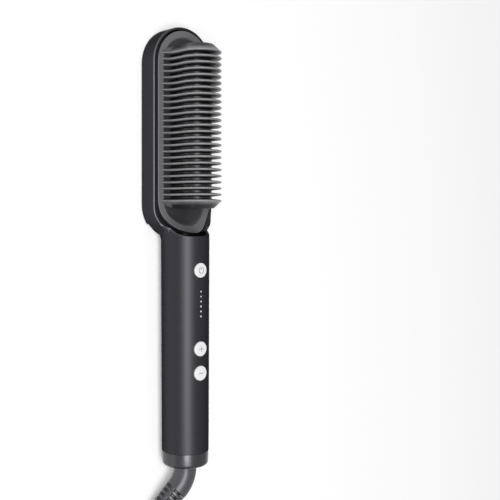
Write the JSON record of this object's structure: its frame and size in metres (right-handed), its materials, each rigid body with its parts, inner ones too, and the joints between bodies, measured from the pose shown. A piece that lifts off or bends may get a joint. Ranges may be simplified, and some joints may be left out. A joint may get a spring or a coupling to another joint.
{
  "type": "heated hair straightener brush",
  "caption": "Electric hair straightening brush: a heated comb under arched anti-scald ribs on an oval head, with buttons and lights on a round handle and a cord that swivels.",
  "frame": {"origin": "middle of the object's base (cord left out), on the flat back face of the ring that it lies on", "axes": "+Y along the handle towards the tip of the head, +Z out of the side with the comb and buttons, +X across"},
  "size_m": [0.0895, 0.433, 0.0448],
  "materials": {
    "dark_shell": "satin black moulded ABS with a broad soft sheen",
    "grey_guard": "heat resistant grey nylon, fine satin",
    "heater_coating": "dark ceramic coating on cast aluminium",
    "purple_ring": "metallic purple, glossy",
    "black_gloss": "piano black",
    "dark_chrome": "smoked chrome plating",
    "white_button": "white silicone-touch plastic",
    "clear_guide": "clear polycarbonate light guide",
    "led_white": "white surface-mount LEDs",
    "circuit_laminate": "green solder mask",
    "component_black": "moulded epoxy cases",
    "component_blue": "blue dipped coating",
    "component_white": "white nylon connectors and ceramic tube",
    "ceramic": "fired alumina",
    "mica": "mica sheet",
    "steel": "zinc plated steel",
    "brass": "brass, polished by running",
    "nickel_pins": "nickel plated brass pins",
    "lead_insulation": "silicone insulation",
    "cord_rubber": "soft dark PVC",
    "stem_plastic": "acetal"
  },
  "bodies": {
    "housing": {"body_housing": "dark_shell", "comb_guard": "grey_guard", "heater_comb": "heater_coating", "heater_element_front": "ceramic", "heater_element_rear": "ceramic", "insulator_sheet": "mica", "clamp_plate": "steel", "clamp_screws": "steel", "thermistor": "component_black", "thermal_fuse": "component_white", "heat_shield": "steel", "guard_screws": "steel", "heater_leads": "lead_insulation", "sensor_leads": "lead_insulation", "heater_jumpers": "steel", "back_ring": "purple_ring", "back_panel": "black_gloss", "circuit_board": "circuit_laminate", "power_switch": "component_black", "plus_switch": "component_black", "minus_switch": "component_black", "indicator_leds": "led_white", "light_guide": "clear_guide", "controller_chip": "component_black", "power_triac": "component_black", "filter_capacitor": "component_blue", "line_fuse": "component_white", "varistor": "component_blue", "heater_connector": "component_white", "mains_connector": "component_white", "board_screws": "steel", "mains_leads": "lead_insulation", "end_cap": "dark_chrome", "swivel_retainer": "stem_plastic", "retainer_screws": "steel", "contact_block": "component_black", "contact_springs": "brass"},
    "power_key": {"power_button": "white_button", "power_plunger": "component_black"},
    "plus_key": {"plus_button": "white_button", "plus_plunger": "component_black"},
    "minus_key": {"minus_button": "white_button", "minus_plunger": "component_black"},
    "cord": {"swivel_stem": "stem_plastic", "slip_rings": "brass", "strain_relief": "cord_rubber", "power_cord": "cord_rubber", "power_cord_coil": "cord_rubber", "power_cord_tail": "cord_rubber", "cord_tie": "cord_rubber", "plug_body": "cord_rubber", "plug_pins": "nickel_pins"}
  },
  "joints": [
    {"name": "power_press", "type": "slide", "parent": "housing", "child": "power_key", "axis": [0, 0, -1], "range_m": [0, 0.0005], "stiffness_N_per_m": 1500},
    {"name": "plus_press", "type": "slide", "parent": "housing", "child": "plus_key", "axis": [0, 0, -1], "range_m": [0, 0.0005], "stiffness_N_per_m": 1500},
    {"name": "minus_press", "type": "slide", "parent": "housing", "child": "minus_key", "axis": [0, 0, -1], "range_m": [0, 0.0005], "stiffness_N_per_m": 1500},
    {"name": "cord_swivel", "type": "hinge", "parent": "housing", "child": "cord", "pos_m": [0, -0.142, 0.016], "axis": [0, 1, 0], "continuous": true}
  ]
}
